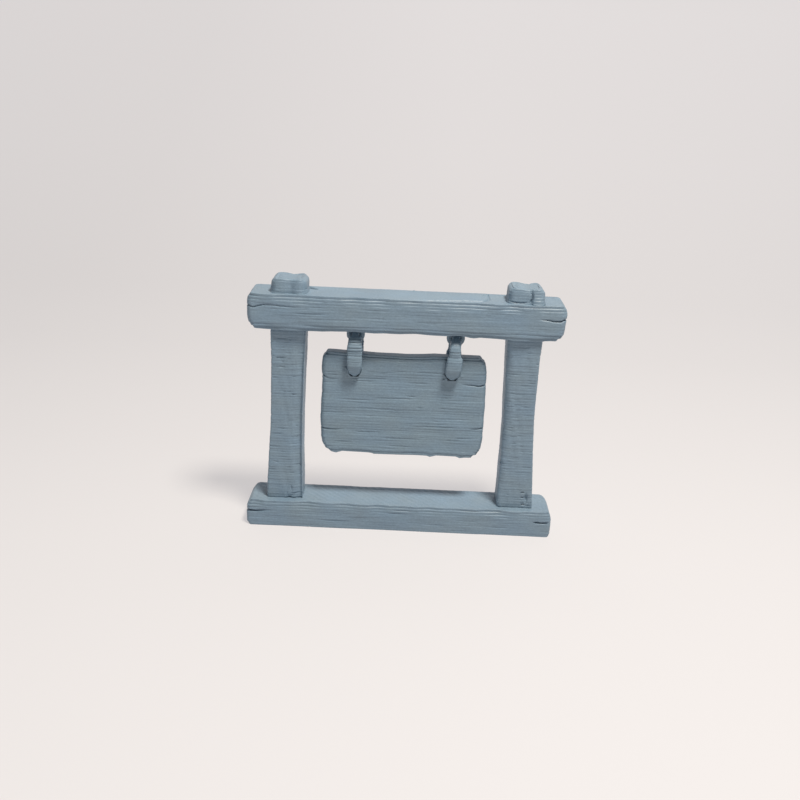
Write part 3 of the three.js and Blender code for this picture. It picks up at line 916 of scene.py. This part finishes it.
def to_outer_side(ahead):
    """Unit vectors across a path in a plane, from the way that it runs."""
    ahead = ahead / np.linalg.norm(ahead, axis=1, keepdims=True)
    return np.column_stack([ahead[:, 1], -ahead[:, 0]])


def layered(points, push, seed, amount):
    """The points of a small swept piece, moved along push by the seams between its layers."""
    count = 200
    levels = points[:, 2] / LAYER
    layer = np.floor(levels).astype(int) % count
    share = levels - np.floor(levels)
    seam = np.minimum(share, 1 - share)
    rng = np.random.default_rng(seed)
    stray = rng.uniform(-1, 1, count)
    deep = 0.6 + 0.9 * rng.uniform(0, 1, count)
    offset = amount * (0.5 * stray[layer] - deep[layer] * bump(seam, 0.26))
    push = push / np.maximum(np.linalg.norm(push, axis=1, keepdims=True), TINY)
    return points + push * offset[:, None]


def link(name, seed):
    """A closed loop: its top bend, front leg, lower bend and back leg, swept by a flat section."""
    low, high = LINK_BOX[name]
    middle = (low[0] + high[0]) / 2
    radius = (high[1] - low[1]) / 2 - LINK_THICKNESS / 2
    top = high[2] - LINK_THICKNESS / 2 - radius
    bottom = low[2] + LINK_THICKNESS / 2 + radius
    step = 0.03
    bend = round(math.pi * radius / step)
    leg = round((top - bottom) / step)
    path = np.concatenate([
        arc((0, top), radius, 0, math.pi, bend),
        straight((-radius, top), (-radius, bottom), leg),
        arc((0, bottom), radius, math.pi, 2 * math.pi, bend),
        straight((radius, bottom), (radius, top), leg),
    ])
    out = to_outer_side(np.roll(path, -1, axis=0) - np.roll(path, 1, axis=0))
    around = 36
    wide, thick = wire_section(around, 0.62)
    level = (high[2] - path[:, 1]) / (high[2] - low[2])
    bulge = look_up(LINK_BULGE[name], level) * (path[:, 0] < 0)
    outer = np.where(thick > 0, thick, 0)[None, :] * bulge[:, None]
    reach = thick[None, :] * LINK_THICKNESS / 2 + outer
    yz = path[:, None, :] + out[:, None, :] * reach[..., None]
    share = (high[2] - yz[..., 1]) / (high[2] - low[2])
    half = LINK_HALF_WIDTH * look_up(LINK_SHARES[name], share)
    # The top bend is narrower where it passes through the staple's eye while the link swings
    staple_low, staple_high = STAPLE_BOX[name]
    eye = (staple_high[0] - staple_low[0]) / 2 - STAPLE_WIRE
    crossbar = staple_low[2] + (staple_high[1] - staple_low[1]) / 2
    from_upright = np.arctan2(np.abs(yz[..., 0]), yz[..., 1] - crossbar)
    in_eye = soft_step((1.02 - from_upright) / 0.13)
    half = np.minimum(half, half + (eye - EYE_PLAY - half) * in_eye)
    x = middle + look_up(LINK_LEAN[name], share) + wide[None, :] * half
    points = np.stack([x, yz[..., 0], yz[..., 1]], -1).reshape(-1, 3)
    push = np.stack([np.broadcast_to(wide, x.shape), thick * out[:, None, 0],
                     thick * out[:, None, 1]], -1).reshape(-1, 3)
    points = layered(points, push, seed, LINK_RIPPLE[name])
    for height, half_height, deep in LINK_SEAMS[name]:
        points[:, 1] += deep * bump(points[:, 2] - height, half_height) * (points[:, 1] < -radius)
    for x_speck, z_speck, reach_speck, height in LINK_SPECKS[name]:
        near = bump(np.hypot(points[:, 0] - x_speck, points[:, 2] - z_speck), reach_speck)
        points[:, 1] -= height * near * (points[:, 1] < -radius)
    grid = np.arange(len(points)).reshape(-1, around)
    grid = np.column_stack([grid, grid[:, 0]])
    grid = np.concatenate([grid, grid[:1]])
    piece = mesh_piece(name + "_link_print", points, grid_faces(grid).tolist(), HANGER)
    return place(piece, name + "_link", name + "_link", "hanger_plastic")


# Staples
def staple(name, seed):
    """A U of wire with its legs up in the beam and a thicker crossbar below."""
    low, high = STAPLE_BOX[name]
    middle = (low[0] + high[0]) / 2
    bar = high[1] - low[1]
    half = (high[0] - low[0] - STAPLE_WIRE) / 2
    floor = low[2] + bar / 2
    corner = 0.42
    step = 0.045
    leg = round((high[2] - floor - corner) / step)
    cross = round((half - corner) * 2 / step)
    bend = 12
    side, level = half - corner, floor + corner
    path = np.concatenate([
        straight((-half, high[2]), (-half, level), leg),
        arc((-side, level), corner, math.pi, 1.5 * math.pi, bend),
        straight((-side, floor), (side, floor), cross),
        arc((side, level), corner, 1.5 * math.pi, 2 * math.pi, bend),
        straight((half, level), (half, high[2]), leg),
        [[half, high[2]]],
    ])
    out = to_outer_side(np.gradient(path, axis=0))
    around = 24
    across, deep = wire_section(around, 0.7)
    thickness = STAPLE_WIRE + (bar - STAPLE_WIRE) * np.abs(out[:, 1])
    xz = path[:, None, :] + out[:, None, :] * (across[None, :] * thickness[:, None] / 2)[..., None]
    y = np.broadcast_to(deep * bar / 2, xz.shape[:2])
    points = np.stack([middle + xz[..., 0], y, xz[..., 1]], -1).reshape(-1, 3)
    push = np.stack([across * out[:, None, 0], np.broadcast_to(deep, xz.shape[:2]),
                     across * out[:, None, 1]], -1).reshape(-1, 3)
    points = layered(points, push, seed, 0.014)
    grid = np.arange(len(points)).reshape(-1, around)
    faces = grid_faces(np.column_stack([grid, grid[:, 0]])).tolist()
    first, last, tip = grid[0].tolist(), grid[-1].tolist(), len(points)
    faces += [[tip, b, a] for a, b in zip(first, first[1:] + first[:1])]
    faces += [[tip + 1, a, b] for a, b in zip(last, last[1:] + last[:1])]
    points = np.concatenate([points, [points[first].mean(0), points[last].mean(0)]])
    piece = mesh_piece(name + "_staple_print", points, faces, HANGER)
    return place(piece, "frame", name + "_staple", "hanger_plastic")


# Scars on the posts, with a row of fine ones up the right post
LEFT_SCARS = [
    crack([(-9.6, 18.12), (-8.4, 18.1), (-7.3, 18.12)], 0.07, 0.05),
    crack([(-9.4, 14.75), (-8.45, 14.77)], 0.06, 0.06),
    crack([(-9.45, 13.28), (-8.55, 13.3)], 0.065, 0.1),
    crack([(-9.2, 12.63), (-8.72, 12.57)], 0.06, 0.06),
    crack([(-8.2, 11.86), (-7.8, 11.8)], 0.06, 0.06),
    crack([(-8.3, 10.5), (-7.82, 10.45)], 0.06, 0.06),
    crack([(-8.9, 8.28), (-7.75, 8.3)], 0.055, 0.04),
    crack([(-9.7, 5.1), (-9.2, 4.98)], 0.06, 0.05),
    dent(-9.02, 15.3, 0.06, 0.2, -0.05),
    dent(-8.27, 2.86, 0.13, 0.42, 0.09),
    dent(-8.05, 2.44, 0.3, 0.07, 0.09),
    dent(-8.42, 2.12, 0.22, 0.09, 0.14),
    dent(-8.5, 2.5, 0.12, 0.3, -0.04),
]
RIGHT_SCARS = [
    crack([(7.1, 18.14), (7.8, 18.11), (8.55, 18.12)], 0.08, 0.09),
    dent(9.62, 2.85, 0.17, 0.6, 0.19),
    dent(9.42, 2.35, 0.27, 0.08, 0.15),
    dent(9.35, 2.95, 0.27, 0.07, 0.12),
    dent(9.3, 3.35, 0.22, 0.07, 0.11),
]
for scar in range(13):
    height = 6.2 + 2 * LAYER * scar
    RIGHT_SCARS.append(crack([(8.06 + 0.1 * math.sin(scar), height),
                              (8.66 + 0.25 * math.cos(2 * scar), height)], 0.06, 0.05))

base_rail()
top_beam()
post("left", -1,
     {"middle": -8.44, "groove": 0.1, "half": 0.4, "depth": 0.04, "left": (0.06, 0.07),
      "right": (0.08, 0.1), "swell_power": 2.0,
      "corners": (0.24, 0.28), "lift": -0.02, "dip": 0.07, "dip_x": -8.2},
     [(0.0, 0.7), (0.2, 0.9), (0.5, 1.0), (0.8, 0.85), (1.0, 0.5)], LEFT_SCARS, 11)
post("right", 1,
     {"middle": 8.34, "groove": 0.24, "half": 0.11, "depth": 0.2, "left": (0.02, 0.02),
      "right": (0.12, 0.3), "swell_power": 0.5,
      "corners": (0.26, 0.36), "lift": 0.01, "dip": 0.1, "dip_x": 8.45},
     [(0.0, 0.4), (0.2, 0.6), (0.5, 0.75), (0.8, 0.75), (1.0, 0.6)], RIGHT_SCARS, 12)
sign_board()
for hanger, seed in (("left", 31), ("right", 37)):
    staple(hanger, seed)
    link(hanger, seed + 1)


# Studio: a pale paper sweep that glows with painted light, a soft light above the front and an even
# sky
def paper_sweep():
    """Level in front and under the sign, and curved up into a wall behind it."""
    near, flat, curve, wall, half_width = -0.6, 0.045, 0.22, 0.6, 0.7
    bend = np.linspace(0, math.pi / 2, 17)
    profile = [(near, 0.0), (-0.1, 0.0), (flat, 0.0)]
    profile += [(flat + curve * math.sin(t), curve * (1 - math.cos(t))) for t in bend[1:]]
    profile += [(flat + curve, wall)]
    points = [(side * half_width, y, z) for y, z in profile for side in (-1, 1)]
    faces = [(2 * k, 2 * k + 1, 2 * k + 3, 2 * k + 2) for k in range(len(profile) - 1)]
    mesh = bpy.data.meshes.new("paper_sweep")
    mesh.from_pydata(points, [], faces)
    mesh.polygons.foreach_set("use_smooth", [True] * len(mesh.polygons))
    # Paper colour, the colour of its painted glowing, then distances to the back and how strongly
    # it glows there
    mesh.materials.append(paper("paper", (0.25, 0.246, 0.243), (0.995, 0.95, 0.95), [
        (-0.03, 0.56), (-0.006, 0.544), (0.016, 0.526), (0.045, 0.518), (0.07, 0.528),
        (0.128, 0.592), (0.18, 0.632)]))
    new_object("paper_sweep", mesh)


def soft_light(name, azimuth, elevation, distance, size, power):
    """A round lamp that faces the sign. Azimuth 0 is in front, and plus is to the right."""
    aim_height = 0.01
    a, e = math.radians(azimuth), math.radians(elevation)
    way = Vector((math.sin(a) * math.cos(e), -math.cos(a) * math.cos(e), math.sin(e)))
    lamp = bpy.data.lights.new(name, "AREA")
    lamp.shape = "DISK"
    lamp.size = size
    lamp.energy = power
    lamp.color = (1.0, 0.93, 0.835)
    holder = new_object(name, lamp)
    holder.location = way * distance + Vector((0, 0, aim_height))
    holder.rotation_euler = way.to_track_quat("Z", "Y").to_euler()


def even_sky(strength):
    world = bpy.data.worlds.new("sky")
    world.use_nodes = True
    sky = world.node_tree.nodes["Background"]
    sky.inputs["Color"].default_value = (0.98, 0.985, 1.0, 1)
    sky.inputs["Strength"].default_value = strength
    bpy.context.scene.world = world


def photo_camera():
    """The camera at the photograph's place, turned down by pitch and slightly rolled."""
    focal_pixels, image_pixels = 914.8, 800
    pitch, roll, yaw = 0.354, 0.043, -0.003
    lens_place = Vector((-0.09 * MM, -63.87 * MM, 33.67 * MM))
    camera = bpy.data.cameras.new("camera")
    camera.sensor_width = 36.0
    camera.lens = focal_pixels / image_pixels * camera.sensor_width
    camera.clip_start = 0.001
    camera.clip_end = 10.0
    holder = new_object("camera", camera)
    turn = (Matrix.Rotation(-yaw, 3, "Z") @ Matrix.Rotation(math.pi / 2 - pitch, 3, "X")
            @ Matrix.Rotation(roll, 3, "Z"))
    holder.matrix_world = Matrix.Translation(lens_place) @ turn.to_4x4()
    bpy.context.scene.camera = holder


paper_sweep()
soft_light("key", 35, 67, 0.14, 0.032, 0.243)
even_sky(0.19)
photo_camera()
bpy.context.scene.view_settings.view_transform = "Standard"
